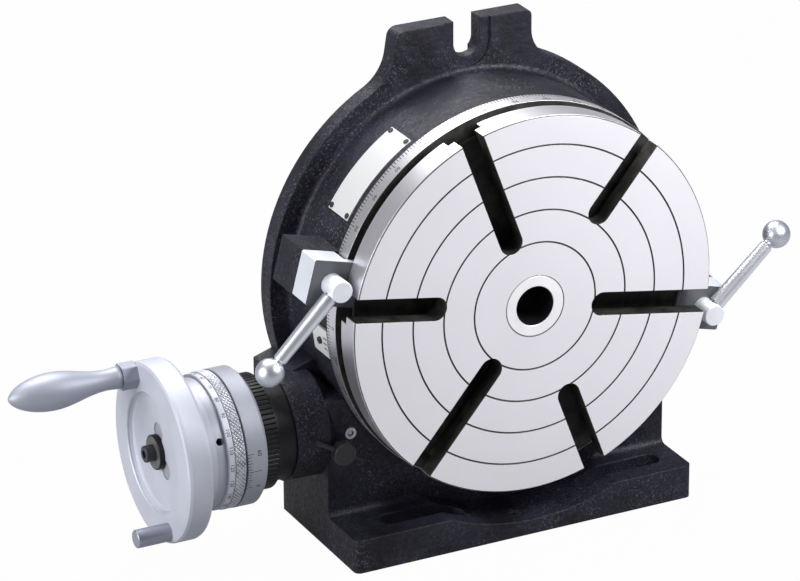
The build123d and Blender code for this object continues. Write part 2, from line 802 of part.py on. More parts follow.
def make_handle_grip():
    """Revolving handle, narrow at the wheel and full toward its end."""
    base = -wheel_front - collar_length - face_gap
    tip = -wheel_front - grip_tip
    reach = base - tip
    mouth = (base - grip_mouth_chamfer, grip_mouth_radius)
    places = [(base - reach * share, radius) for share, radius in grip_shape]
    outer = Spline(mouth, *places, (tip, 0.0), tangents=((-1, -0.05), (0, -1)))
    head_room, pin_room = pin_head_radius + 2 * run_gap, pin_radius + run_gap
    head_end = tip + grip_end_wall + pin_head_length + 2 * face_gap
    closing = Polyline((tip, 0), (tip + grip_end_wall, 0), (tip + grip_end_wall, head_room),
                       (head_end, head_room), (head_end, pin_room), (base, pin_room),
                       (base, grip_mouth_radius - grip_mouth_chamfer), mouth)
    return to_worm * grip_place() * revolve(make_face(outer + closing), Axis.X)


def make_balance_pin():
    """Short pin on the rim opposite the handle."""
    front = -wheel_front
    pin = disc_x(balance_pin_radius, front - balance_pin_length, front + balance_pin_seat - 0.5)
    pin = fillet(pin.edges().group_by(Axis.X)[0], 1.2)
    return to_worm * Rot(180, 0, 0) * grip_place() * pin


def make_clamp_block(angle):
    """Clamp block: its tip reaches into the groove over the flange, its heel stands before the boss."""
    shape = block(clamp_heel, clamp_outer, block_front_y, block_back_y, -clamp_half, clamp_half)
    shape += block(clamp_tip, clamp_heel, block_front_y, flange_front_y - face_gap, -clamp_half, clamp_half)
    shape = chamfer(shape.edges().filter_by(Axis.Y).group_by(Axis.X)[-1], clamp_corner)
    shape -= disc_y(stud_radius + run_gap, block_front_y - 1, block_back_y + 1, x=clamp_circle)
    return to_table * around_y(angle) * shape


def clamp_spot(angle):
    """Place of a clamp's stud axis."""
    turn = math.radians(angle)
    return Pos(clamp_circle * math.cos(turn), 0, center_height + clamp_circle * math.sin(turn))


def make_clamp_studs():
    """Studs that stand in the clamp bosses."""
    studs = []
    for angle in clamp_angles:
        stud = disc_y(stud_radius, lever_front_y + nut_boss_cap + 1, boss_front_y + stud_seat - 1)
        studs.append(clamp_spot(angle) * stud)
    return group(studs)


def lever_place(angle, turn):
    """Place of a lever's rod, with +X along it."""
    return clamp_spot(angle) * Pos(0, lever_front_y + lever_drop, 0) * around_y(angle + turn)


def make_clamp_nut(angle, turn):
    """Round nut of the clamp lever, with a cross hole for the rod's root."""
    nut = disc_y(nut_boss_radius, lever_front_y, block_front_y)
    nut = fillet(nut.edges().group_by(Axis.Y)[0], 0.8)
    nut -= disc_y(stud_radius + run_gap, lever_front_y + nut_boss_cap, block_front_y + 1)
    root_hole = disc_x(lever_root_radius, stud_radius + 0.5, nut_boss_radius + 4)
    return clamp_spot(angle) * nut - lever_place(angle, turn) * root_hole


def make_clamp_rod(angle, turn):
    """Lever rod, slightly tapered toward its ball."""
    start, end = nut_boss_radius + 0.6, lever_length - lever_ball_radius + 1.5
    rod = turned_x([
        (stud_radius + 0.6, 0),
        (stud_radius + 0.6, lever_root_radius - fit_gap),
        (start, lever_root_radius - fit_gap),
        (start, lever_rod_radius),
        (end - lever_neck_length - 1, lever_end_radius),
        (end - lever_neck_length, lever_neck_radius),
        (end + 5, lever_neck_radius),
        (end + 5, 0),
    ])
    return lever_place(angle, turn) * rod


def make_clamp_ball(angle, turn):
    """Ball at the end of the lever."""
    end = lever_length - lever_ball_radius + 1.5
    ball = Pos(lever_length, 0, 0) * Sphere(lever_ball_radius)
    ball -= disc_x(lever_neck_radius + fit_gap, 0, end + 5 + fit_gap)
    return lever_place(angle, turn) * ball


def make_lock_screw():
    """Screw that locks the eccentric sleeve, with a round head."""
    head_back = -wall_front - lock_neck
    tip_y = sleeve_touch_y() - face_gap
    screw = disc_y(lock_head_radius, head_back - lock_head_depth, head_back)
    screw = fillet(screw.edges().group_by(Axis.Y)[0], 1.0)
    screw += disc_y(lock_screw_radius, head_back, tip_y)
    place = Pos(lock_x, 0, lock_z)
    return place * (screw - lock_bar_way(lock_bar_radius + fit_gap))


def sleeve_touch_y():
    """Foremost reach of the sleeve over the width of the lock screw's tip."""
    high = worm_z - lock_z - lock_screw_radius
    return sleeve_throw - math.sqrt(sleeve_radius ** 2 - high ** 2)


def lock_bar_way(radius):
    """Cross bar of the lock screw, at the screw's own axis."""
    middle_y = -wall_front - lock_neck - lock_head_depth / 2
    turn = around_y(-lock_bar_tilt)
    half = lock_bar_length / 2
    return Pos(0, middle_y, 0) * turn * disc_x(radius, -half - lock_bar_slide, half - lock_bar_slide)


def make_lock_bar():
    """Tommy bar through the lock screw's head."""
    bar = lock_bar_way(lock_bar_radius)
    return Pos(lock_x, 0, lock_z) * bar


def make_oiler():
    """Ball oiler in the front wall."""
    front = -wall_front
    body = disc_y(oiler_radius + oiler_rim, front - 1.0, front)
    body += disc_y(oiler_radius, front, front + oiler_depth)
    body -= disc_y(oiler_hole_radius, front - 2, front + oiler_depth / 2)
    body += disc_y(oiler_ball_radius, front + face_gap, front + oiler_depth / 2)
    return Pos(oiler_x, 0, oiler_z) * body


def make_drain_plug():
    """Flat plug with a hexagon socket, sunk in the foot's hollow."""
    low = -drain_length - 0.5
    plug = extrude(Plane.XY.offset(low) * Circle(drain_radius), amount=drain_length)
    plug -= extrude(Plane.XY.offset(-socket_depth) * RegularPolygon(socket_radius, 6), amount=socket_depth + 1)
    return drain_place() * plug


def curved_plate(radius, thick, y0, y1, angles):
    """Thin plate bent round the table axis."""
    ring = disc_y(radius + thick, y0, y1) - disc_y(radius, y0 - 1, y1 + 1)
    span = angles[1] - angles[0]
    reach = 2 * radius
    half = math.radians(span / 2)
    wedge = make_face(Polyline((0, 0), (reach * math.cos(half), -reach * math.sin(half)),
                               (reach * math.cos(half), reach * math.sin(half)), close=True))
    keep = slab_y(wedge, y0, y1)
    return around_y(sum(angles) / 2) * (ring & keep)


def make_name_plate():
    """Bare plate on the drum."""
    inner = drum_radius + fit_gap
    plate = curved_plate(inner, name_plate_thick, -name_plate_front,
                         -name_plate_front + name_plate_width, plate_angles)
    for spot in rivet_spots():
        plate -= spot * disc_x(rivet_radius + fit_gap, drum_radius - 1, drum_radius + 5)
    return to_table * plate


def rivet_spots():
    """Places of the name plate's rivets, with +X pointing out of the drum."""
    spots = []
    for angle in (plate_angles[0] + math.degrees(rivet_inset / drum_radius),
                  plate_angles[1] - math.degrees(rivet_inset / drum_radius)):
        for y in (-name_plate_front + rivet_inset, -name_plate_front + name_plate_width - rivet_inset):
            spots.append(around_y(angle) * Pos(0, y, 0))
    return spots


def make_plate_rivets():
    """Drive rivets of the name plate."""
    out = drum_radius + name_plate_thick + fit_gap
    rivet = disc_x(rivet_radius, drum_radius + 0.1, out)
    rivet += disc_x(rivet_head_radius, out, out + rivet_head_rise)
    return group([to_table * spot * rivet for spot in rivet_spots()])


def make_index_plate():
    """Zero-mark plate on the drum, close behind the graduated flange."""
    return to_table * curved_plate(drum_radius + fit_gap, index_thick, -index_front, -index_back,
                                   index_angles)


os.makedirs("parts", exist_ok=True)

save("base_casting", make_base_casting())
save("spindle_bush", make_spindle_bush())
save("name_plate", make_name_plate())
save("plate_rivets", make_plate_rivets())
save("index_plate", make_index_plate())
save("oiler", make_oiler())
save("drain_plug", make_drain_plug())
save("clamp_studs", make_clamp_studs())
save("table_disc", make_table_disc())
save("spindle", make_spindle())
save("hub_screws", make_hub_screws())
save("taper_sleeve", make_taper_sleeve())
save("worm_wheel", make_worm_wheel())
save("wheel_screws", make_wheel_screws())
save("spindle_nut", make_spindle_nut())
save("eccentric_sleeve", make_eccentric_sleeve())
save("journal_bushes", make_journal_bushes())
save("vernier_ring", make_vernier_ring())
save("worm_shaft", make_worm_shaft())
save("shaft_key", make_shaft_key())
save("dial_hub", make_dial_hub())
save("dial_set_screw", make_dial_set_screw())
save("dial_ring", make_dial_ring())
save("handwheel", make_handwheel())
save("center_screw", make_center_screw())
save("center_washer", make_center_washer())
save("handle_pin", make_handle_pin())
save("handle_grip", make_handle_grip())
save("balance_pin", make_balance_pin())
for side, angle, turn in zip(clamp_names, clamp_angles, lever_turns):
    save(f"{side}_clamp_block", make_clamp_block(angle))
    save(f"{side}_clamp_nut", make_clamp_nut(angle, turn))
    save(f"{side}_clamp_rod", make_clamp_rod(angle, turn))
    save(f"{side}_clamp_ball", make_clamp_ball(angle, turn))
save("lock_screw", make_lock_screw())
save("lock_bar", make_lock_bar())
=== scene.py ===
import bpy
import bmesh
import json
import math
from mathutils import Matrix, Vector


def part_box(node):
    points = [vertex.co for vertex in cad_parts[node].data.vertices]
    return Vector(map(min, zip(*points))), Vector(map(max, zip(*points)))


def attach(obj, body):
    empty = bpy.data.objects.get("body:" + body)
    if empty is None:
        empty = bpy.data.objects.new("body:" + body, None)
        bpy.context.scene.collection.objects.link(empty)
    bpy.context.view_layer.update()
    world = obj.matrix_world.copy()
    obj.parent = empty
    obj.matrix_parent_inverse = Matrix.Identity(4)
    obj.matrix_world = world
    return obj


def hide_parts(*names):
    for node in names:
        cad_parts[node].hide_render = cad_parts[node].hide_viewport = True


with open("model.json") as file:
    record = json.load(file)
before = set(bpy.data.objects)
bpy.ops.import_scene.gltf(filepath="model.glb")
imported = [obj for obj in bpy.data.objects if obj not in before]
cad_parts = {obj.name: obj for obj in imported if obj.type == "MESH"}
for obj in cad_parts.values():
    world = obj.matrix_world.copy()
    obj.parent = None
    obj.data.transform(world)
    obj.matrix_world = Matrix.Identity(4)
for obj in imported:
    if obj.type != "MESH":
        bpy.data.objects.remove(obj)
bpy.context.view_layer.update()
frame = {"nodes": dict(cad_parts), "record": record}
print("frame loaded")

nodes = frame["nodes"]
scene = bpy.context.scene
mm = 0.001
mergeDistance = 0.001 * mm

# places that come from the frame
tableLow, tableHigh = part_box("table_disc")
tableAxisZ = (tableLow.z + tableHigh.z) / 2
tableFaceY = tableLow.y
sleeveLow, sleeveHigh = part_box("taper_sleeve")
sleeveRadius = (sleeveHigh.x - sleeveLow.x) / 2
wheelLow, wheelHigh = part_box("handwheel")
wormAxisY = (wheelLow.y + wheelHigh.y) / 2
wormAxisZ = (wheelLow.z + wheelHigh.z) / 2


# helpers for node materials

def newMaterial(name):
    mat = bpy.data.materials.new(name)
    mat.use_nodes = True
    tree = mat.node_tree
    return mat, tree, tree.nodes["Principled BSDF"]


def addNode(tree, kind, **values):
    node = tree.nodes.new(kind)
    for key, value in values.items():
        setattr(node, key, value)
    return node


def objectPoint(tree, offset=(0, 0, 0)):
    coords = addNode(tree, "ShaderNodeTexCoord")
    mapping = addNode(tree, "ShaderNodeMapping")
    mapping.inputs["Location"].default_value = [-value for value in offset]
    tree.links.new(coords.outputs["Object"], mapping.inputs["Vector"])
    return mapping.outputs["Vector"]


def mathNode(tree, operation, first, second=None):
    node = addNode(tree, "ShaderNodeMath", operation=operation)
    for socket, value in zip(node.inputs, (first, second)):
        if value is None:
            continue
        if isinstance(value, (int, float)):
            socket.default_value = value
        else:
            tree.links.new(value, socket)
    return node.outputs[0]


def times(tree, first, second):
    return mathNode(tree, "MULTIPLY", first, second)


def above(tree, value, limit):
    return mathNode(tree, "GREATER_THAN", value, limit)


def below(tree, value, limit):
    return mathNode(tree, "LESS_THAN", value, limit)


def between(tree, value, low, high):
    return times(tree, above(tree, value, low), below(tree, value, high))


def apart(tree, first, second):
    return mathNode(tree, "ABSOLUTE", mathNode(tree, "SUBTRACT", first, second))


def noiseNode(tree, vector, scale, detail, roughness):
    noise = addNode(tree, "ShaderNodeTexNoise")
    noise.inputs["Scale"].default_value = scale
    noise.inputs["Detail"].default_value = detail
    noise.inputs["Roughness"].default_value = roughness
    tree.links.new(vector, noise.inputs["Vector"])
    return noise.outputs["Fac"]


noiseMiddle = (0.3, 0.7)  # most of a noise's values lie between these


def rampNode(tree, factor, low, high, stops=noiseMiddle):
    ramp = addNode(tree, "ShaderNodeValToRGB")
    for element, place, tone in zip(ramp.color_ramp.elements, stops, (low, high)):
        color = (tone, tone, tone) if isinstance(tone, (int, float)) else tone
        element.position = place
        element.color = (*color, 1)
    tree.links.new(factor, ramp.inputs["Fac"])
    return ramp.outputs["Color"]


def mixColor(tree, factor, first, second):
    mix = addNode(tree, "ShaderNodeMix", data_type="RGBA")
    tree.links.new(factor, mix.inputs["Factor"])
    for socket, value in zip((mix.inputs[6], mix.inputs[7]), (first, second)):
        if isinstance(value, tuple):
            socket.default_value = (*value, 1)
        else:
            tree.links.new(value, socket)
    return mix.outputs[2]


def shade(color, share):
    return tuple(value * share for value in color)


def bumpNode(tree, shader, height, distance, strength, before=None):
    bump = addNode(tree, "ShaderNodeBump")
    bump.inputs["Strength"].default_value = strength
    bump.inputs["Distance"].default_value = distance
    tree.links.new(height, bump.inputs["Height"])
    if before is not None:
        tree.links.new(before.outputs["Normal"], bump.inputs["Normal"])
    tree.links.new(bump.outputs["Normal"], shader.inputs["Normal"])
    return bump


def softEdge(tree, radius):
    bevel = addNode(tree, "ShaderNodeBevel", samples=4)
    bevel.inputs["Radius"].default_value = radius
    return bevel


def radiusFrom(tree, vector, plane):
    parts = addNode(tree, "ShaderNodeSeparateXYZ")
    tree.links.new(vector, parts.inputs["Vector"])
    first, second = parts.outputs[plane[0]], parts.outputs[plane[1]]
    total = mathNode(tree, "ADD", times(tree, first, first), times(tree, second, second))
    return mathNode(tree, "SQRT", total), parts


def turnedPoint(tree, radius, along):
    # the same at every angle round the axis, so a noise on it looks like turning marks
    point = addNode(tree, "ShaderNodeCombineXYZ")
    tree.links.new(radius, point.inputs["X"])
    tree.links.new(along, point.inputs["Y"])
    return point.outputs["Vector"]


# in the looks, a noise is its scale in a metre, its detail and its roughness,
# a bump is its height and its strength, and roughness runs from the noise's low end to its high end

castingLook = {
    "dark": (0.0016, 0.0016, 0.0040),
    "light": (0.0185, 0.0188, 0.0360),
    "toneStops": (0.40, 0.64),
    "cloudShare": 0.55,
    # painted highlights: the tone of the light specks that stand in for glints on the grain
    "glintTone": (0.100, 0.101, 0.128),
    "glintShare": 0.75,
    "glintStops": (0.56, 0.68),
    "patchStops": (0.40, 0.58),
    "roughness": (0.66, 0.42),
    "gloss": 0.34,
    "edgeRound": 1.8 * mm,
    "cloud": (22, 4, 0.6),
    "patch": (26, 2, 0.5),
    "fine": (1 / (1.5 * mm), 2, 0.6),
    "lump": (1 / (11 * mm), 2, 0.5),
    "grain": (1 / (2.6 * mm), 5, 0.62),
    "pit": (1 / (0.9 * mm), 2, 0.5),
    "lumpBump": (1.6 * mm, 0.6),
    "grainBump": (0.45 * mm, 0.7),
    "pitBump": (0.16 * mm, 0.6),
}


def castingMaterial():
    look = castingLook
    mat, tree, shader = newMaterial("blackCasting")
    point = objectPoint(tree)
    names = ("cloud", "patch", "fine", "lump", "grain", "pit")
    noise = {name: noiseNode(tree, point, *look[name]) for name in names}
    share = look["cloudShare"]
    tone = mathNode(tree, "ADD", times(tree, noise["cloud"], share), times(tree, noise["grain"], 1 - share))
    color = rampNode(tree, tone, look["dark"], look["light"], look["toneStops"])
    # painted highlights: light specks on the grain that stand in for glints, gathered in patches
    paintedGlints = times(tree, rampNode(tree, noise["fine"], 0.0, 1.0, look["glintStops"]),
                   rampNode(tree, noise["patch"], 0.0, 1.0, look["patchStops"]))
    color = mixColor(tree, times(tree, paintedGlints, look["glintShare"]), color, look["glintTone"])
    tree.links.new(color, shader.inputs["Base Color"])
    tree.links.new(rampNode(tree, noise["grain"], *look["roughness"]), shader.inputs["Roughness"])
    shader.inputs["Specular IOR Level"].default_value = look["gloss"]
    bump = softEdge(tree, look["edgeRound"])
    for name in ("lump", "grain", "pit"):
        bump = bumpNode(tree, shader, noise[name], *look[name + "Bump"], bump)
    return mat


tableLook = {
    "color": (0.84, 0.83, 0.88),
    "dull": 0.96,
    "faceMetallic": 0.36,
    "rimMetallic": 0.95,
    "roughness": (0.30, 0.42),
    "edgeRound": 0.3 * mm,
    "cloud": (14, 3, 0.5),
    "turned": (1 / (0.22 * mm), 2, 0.6),
    "turnedBump": (0.004 * mm, 0.5),
    # painted shade: the dark colour of the T-slots' insides and of the clamp groove
    "slotDark": (0.006, 0.0055, 0.006),
    "slotLight": (0.055, 0.052, 0.045),
    "slotStops": (0.35, 0.75),
    "slotGrain": (90, 4, 0.6),
    "slotMetalLoss": 0.9,
    "slotRoughRise": 0.25,
    "skin": 0.05 * mm,
    "rimRadius": 149.4 * mm,
    "flangeFront": (-53.0 * mm, -51.7 * mm),
    "flangeRadius": 151.3 * mm,
    # dark lines: painted shade at the rim's edge and in the ring grooves, and the joint round the sleeve
    "line": (0.06, 0.06, 0.065),
    "darkLineShare": 0.85,
    "edgeDepth": 0.8 * mm,
    "sleeveLineHalf": 0.45 * mm,
    "ringStep": 25.4 * mm,
    "ringSpan": (40 * mm, 135 * mm),
    "ringHalf": 0.72 * mm,
}


def tableCuts(tree, radius, depth):
    # painted shade: the insides of the T-slots, and the flange's front in the clamp groove, get a dark
    # colour where shade falls
    look = tableLook
    behindFace = above(tree, depth, tableFaceY + look["skin"])
    inSlot = times(tree, behindFace, below(tree, radius, look["rimRadius"]))
    flangeFront = between(tree, depth, *look["flangeFront"])
    onFlange = times(tree, flangeFront, below(tree, radius, look["flangeRadius"]))
    return mathNode(tree, "MAXIMUM", inSlot, onFlange)


def tableLines(tree, radius, onFace):
    # dark lines: painted shade on the rim's edge and in the turned ring grooves, and the dark joint round
    # the sleeve
    look = tableLook
    onEdge = times(tree, onFace, above(tree, radius, look["rimRadius"]))
    onSleeve = below(tree, apart(tree, radius, sleeveRadius), look["sleeveLineHalf"])
    phase = mathNode(tree, "DIVIDE", radius, look["ringStep"])
    fromRing = apart(tree, phase, mathNode(tree, "ROUND", phase))
    onRing = times(tree, below(tree, fromRing, look["ringHalf"] / look["ringStep"]),
                   between(tree, radius, *look["ringSpan"]))
    return mathNode(tree, "MAXIMUM", mathNode(tree, "MAXIMUM", onEdge, onSleeve), onRing)


def tableMaterial():
    look = tableLook
    mat, tree, shader = newMaterial("groundSteel")
    point = objectPoint(tree, (0, 0, tableAxisZ))
    radius, parts = radiusFrom(tree, point, ("X", "Z"))
    depth = parts.outputs["Y"]
    turned = noiseNode(tree, turnedPoint(tree, radius, depth), *look["turned"])
    # painted shade in the T-slots and the clamp groove
    cutShade = tableCuts(tree, radius, depth)
    onFace = below(tree, depth, tableFaceY + look["edgeDepth"])
    slotNoise = noiseNode(tree, point, *look["slotGrain"])
    paintedSlotShade = rampNode(tree, slotNoise, look["slotDark"], look["slotLight"], look["slotStops"])
    cloud = noiseNode(tree, point, *look["cloud"])
    steel = rampNode(tree, cloud, shade(look["color"], look["dull"]), look["color"])
    # painted shade on the rim's edge and ring grooves, with the sleeve's joint, as dark lines
    darkLines = times(tree, tableLines(tree, radius, onFace), look["darkLineShare"])
    lined = mixColor(tree, darkLines, steel, look["line"])
    tree.links.new(mixColor(tree, cutShade, lined, paintedSlotShade), shader.inputs["Base Color"])
    offFace = mathNode(tree, "SUBTRACT", 1.0, onFace)
    rimShare = times(tree, offFace, look["rimMetallic"] - look["faceMetallic"])
    metallic = mathNode(tree, "ADD", rimShare, look["faceMetallic"])
    clean = mathNode(tree, "SUBTRACT", 1.0, times(tree, cutShade, look["slotMetalLoss"]))
    tree.links.new(times(tree, clean, metallic), shader.inputs["Metallic"])
    rough = mathNode(tree, "ADD", rampNode(tree, turned, *look["roughness"]),
                     times(tree, cutShade, look["slotRoughRise"]))
    tree.links.new(rough, shader.inputs["Roughness"])
    bumpNode(tree, shader, turned, *look["turnedBump"], softEdge(tree, look["edgeRound"]))
    return mat


def metal(color, roughness, metallic, line, axis=None, **more):
    # line is the width of the tool marks, axis the one that the piece was turned about
    return {"color": color, "roughness": roughness, "metallic": metallic, "line": line, "axis": axis, **more}


metalLooks = {
    # the sleeve's bore is darkened inside: painted shade
    "sleeve_steel": metal((0.95, 0.94, 0.97), (0.26, 0.36), 0.3, 0.15 * mm, "Y",
                          bore={"radius": 16.4 * mm, "skin": 0.6 * mm, "tone": (0.016, 0.016, 0.020)}),
    # the pits in the wheel's dish are darkened: painted shade in the recesses
    "wheel_alloy": metal((0.52, 0.54, 0.62), (0.54, 0.64), 0.40, 0.30 * mm, "X",
                         pits={"radius": 26 * mm, "x": (-273.1 * mm, -270.0 * mm), "shade": 0.62}),
    "dial_alloy": metal((0.64, 0.65, 0.73), (0.48, 0.58), 0.30, 0.18 * mm, "X"),
    "vernier_alloy": metal((0.35, 0.36, 0.42), (0.48, 0.58), 0.3, 0.18 * mm, "X"),
    "hub_alloy": metal((0.45, 0.46, 0.53), (0.48, 0.58), 0.55, 0.18 * mm, "X"),
    "satin_chrome": metal((0.58, 0.60, 0.67), (0.46, 0.56), 0.6, 0.5 * mm),
    "lever_metal": metal((0.85, 0.87, 0.94), (0.30, 0.38), 0.92, 0.5 * mm),
    "ball_metal": metal((0.60, 0.62, 0.69), (0.35, 0.43), 0.90, 0.5 * mm),
    "nut_metal": metal((0.86, 0.88, 0.95), (0.42, 0.52), 0.4, 0.4 * mm),
    "grip_metal": metal((0.36, 0.38, 0.45), (0.50, 0.60), 0.5, 0.5 * mm),
    "collar_metal": metal((0.34, 0.35, 0.42), (0.40, 0.50), 0.7, 0.4 * mm),
    # the clamp blocks' front face is darkened: painted shade
    "block_steel": metal((0.66, 0.69, 0.76), (0.46, 0.58), 0.45, 0.5 * mm,
                         front={"upToY": -58.49 * mm, "shade": 0.18}),
    "inner_steel": metal((0.50, 0.50, 0.52), (0.30, 0.45), 1.0, 0.4 * mm),
    "bronze": metal((0.62, 0.40, 0.17), (0.28, 0.42), 1.0, 0.4 * mm),
}
metalBase = {
    "dull": 0.9,
    "cloud": (35, 3, 0.5),
    "lineDetail": 3,
    "lineRoughness": 0.6,
    "lineBump": (0.004 * mm, 0.6),
    "edgeRound": 0.35 * mm,
}


def metalMaterial(name):
    look = metalLooks[name]
    mat, tree, shader = newMaterial(name)
    aboutWorm = look["axis"] == "X"
    point = objectPoint(tree, (0, wormAxisY, wormAxisZ) if aboutWorm else (0, 0, tableAxisZ))
    radius, parts = radiusFrom(tree, point, ("Y", "Z") if aboutWorm else ("X", "Z"))
    linePoint = turnedPoint(tree, radius, parts.outputs[look["axis"]]) if look["axis"] else point
    lines = noiseNode(tree, linePoint, 1 / look["line"], metalBase["lineDetail"], metalBase["lineRoughness"])
    cloud = noiseNode(tree, point, *metalBase["cloud"])
    color = rampNode(tree, cloud, shade(look["color"], metalBase["dull"]), look["color"])
    # painted shade inside the sleeve's bore
    if "bore" in look:
        bore = look["bore"]
        deep = above(tree, parts.outputs["Y"], tableFaceY + bore["skin"])
        color = mixColor(tree, times(tree, deep, below(tree, radius, bore["radius"])), color, bore["tone"])
    # painted shade in the pits of the wheel's dish
    if "pits" in look:
        pits = look["pits"]
        inPitShade = times(tree, below(tree, radius, pits["radius"]),
                      between(tree, parts.outputs["X"], *pits["x"]))
        color = mixColor(tree, inPitShade, color, shade(look["color"], pits["shade"]))
    # painted shade on the clamp blocks' front face
    if "front" in look:
        front = look["front"]
        inFrontShade = below(tree, parts.outputs["Y"], front["upToY"])
        color = mixColor(tree, inFrontShade, color, shade(look["color"], front["shade"]))
    tree.links.new(color, shader.inputs["Base Color"])
    tree.links.new(rampNode(tree, lines, *look["roughness"]), shader.inputs["Roughness"])
    shader.inputs["Metallic"].default_value = look["metallic"]
    bumpNode(tree, shader, lines, *metalBase["lineBump"], softEdge(tree, metalBase["edgeRound"]))
    return mat


coatedLooks = {
    "black_oxide": {
        "dark": (0.010, 0.010, 0.012),
        "light": (0.030, 0.030, 0.034),
        "roughness": (0.38, 0.55),
        "gloss": 0.5,
        "grain": (1 / (0.8 * mm), 4, 0.6),
    },
    "gloss_black": {
        "dark": (0.004, 0.004, 0.006),
        "light": (0.010, 0.010, 0.013),
        "roughness": (0.32, 0.48),
        "gloss": 0.3,
        "grain": (1 / (1.6 * mm), 4, 0.6),
        "ribs": {"upToX": -209.0 * mm, "roughRise": 0.36, "tone": (0.018, 0.018, 0.022)},
    },
    "scale_ink": {
        "dark": (0.010, 0.010, 0.012),
        "light": (0.020, 0.020, 0.022),
        "roughness": (0.6, 0.8),
        "gloss": 0.2,
        "grain": (1 / (0.5 * mm), 4, 0.6),
    },
}
coatedBase = {"toneStops": (0.35, 0.7), "grainBump": (0.03 * mm, 0.5), "edgeRound": 0.4 * mm}


def coatedMaterial(name):
    look = coatedLooks[name]
    mat, tree, shader = newMaterial(name)
    point = objectPoint(tree)
    grain = noiseNode(tree, point, *look["grain"])
    color = rampNode(tree, grain, look["dark"], look["light"], coatedBase["toneStops"])
    rough = rampNode(tree, grain, *look["roughness"])
    if "ribs" in look:
        # the ribbed grip of the sleeve is duller than its neck
        ribs = look["ribs"]
        parts = addNode(tree, "ShaderNodeSeparateXYZ")
        tree.links.new(point, parts.inputs["Vector"])
        onRibs = below(tree, parts.outputs["X"], ribs["upToX"])
        color = mixColor(tree, onRibs, color, ribs["tone"])
        rough = mathNode(tree, "ADD", rough, times(tree, onRibs, ribs["roughRise"]))
    tree.links.new(color, shader.inputs["Base Color"])
    tree.links.new(rough, shader.inputs["Roughness"])
    shader.inputs["Specular IOR Level"].default_value = look["gloss"]
    bumpNode(tree, shader, grain, *coatedBase["grainBump"], softEdge(tree, coatedBase["edgeRound"]))
    return mat


knurlLook = {
    "valley": 52.04 * mm,
    "peak": 52.36 * mm,
    "dark": (0.13, 0.13, 0.15),
    "light": (0.60, 0.61, 0.68),
    "toneStops": (0.12, 0.75),
    "wear": (190, 4, 0.7),
    "wearShare": 2.0,
    "wearMiddle": 0.92,
    "roughness": 0.42,
    "metallic": 0.55,
}


def knurlMaterial():
    # the colour follows the distance from the axis: dark in the cuts of the knurl and light on its peaks,
    # shifted by a noise
    look = knurlLook
    mat, tree, shader = newMaterial("knurledAlloy")
    point = objectPoint(tree, (0, wormAxisY, wormAxisZ))
    radius = radiusFrom(tree, point, ("Y", "Z"))[0]
    reach = addNode(tree, "ShaderNodeMapRange")
    reach.inputs["From Min"].default_value = look["valley"]
    reach.inputs["From Max"].default_value = look["peak"]
    tree.links.new(radius, reach.inputs["Value"])
    wear = times(tree, noiseNode(tree, point, *look["wear"]), look["wearShare"])
    worn = mathNode(tree, "ADD", reach.outputs["Result"], wear)
    height = mathNode(tree, "SUBTRACT", worn, look["wearMiddle"])
    color = rampNode(tree, height, look["dark"], look["light"], look["toneStops"])
    tree.links.new(color, shader.inputs["Base Color"])
    shader.inputs["Roughness"].default_value = look["roughness"]
    shader.inputs["Metallic"].default_value = look["metallic"]
    return mat


washerLook = {
    "rim": 12.3 * mm,
    "face": (0.16, 0.16, 0.17),
    "side": (0.008, 0.008, 0.010),
    "worn": (300, 4, 0.6),
    "wornShade": 0.55,
    "wornStops": (0.35, 0.65),
    "roughness": 0.42,
    "metallic": 0.5,
}


def washerMaterial():
    look = washerLook
    mat, tree, shader = newMaterial("blackenedWasher")
    point = objectPoint(tree, (0, wormAxisY, wormAxisZ))
    outside = above(tree, radiusFrom(tree, point, ("Y", "Z"))[0], look["rim"])
    noise = noiseNode(tree, point, *look["worn"])
    worn = rampNode(tree, noise, shade(look["face"], look["wornShade"]), look["face"], look["wornStops"])
    tree.links.new(mixColor(tree, outside, worn, look["side"]), shader.inputs["Base Color"])
    shader.inputs["Roughness"].default_value = look["roughness"]
    shader.inputs["Metallic"].default_value = look["metallic"]
    return mat


plateLook = {
    "color": (0.70, 0.71, 0.72),
    "dull": 0.9,
    "brush": (1 / (1.5 * mm), 3, 0.6),
    "brushBump": (0.006 * mm, 0.5),
    "stretch": 14.0,
    "roughness": (0.3, 0.45),
    "metallic": 0.35,
}


def plateMaterial():
    look = plateLook
    mat, tree, shader = newMaterial("plate_metal")
    coords = addNode(tree, "ShaderNodeTexCoord")
    mapping = addNode(tree, "ShaderNodeMapping")
    mapping.inputs["Scale"].default_value = (1, look["stretch"], 1)
    tree.links.new(coords.outputs["Object"], mapping.inputs["Vector"])
    brush = noiseNode(tree, mapping.outputs["Vector"], *look["brush"])
    color = rampNode(tree, brush, shade(look["color"], look["dull"]), look["color"])
    tree.links.new(color, shader.inputs["Base Color"])
    tree.links.new(rampNode(tree, brush, *look["roughness"]), shader.inputs["Roughness"])
    shader.inputs["Metallic"].default_value = look["metallic"]
    bumpNode(tree, shader, brush, *look["brushBump"])
    return mat


materials = {name: metalMaterial(name) for name in metalLooks}
materials.update({name: coatedMaterial(name) for name in coatedLooks})
materials["black_casting"] = castingMaterial()
materials["ground_steel"] = tableMaterial()
materials["plate_metal"] = plateMaterial()
materials["knurl"] = knurlMaterial()
materials["washer"] = washerMaterial()
print("materials made")

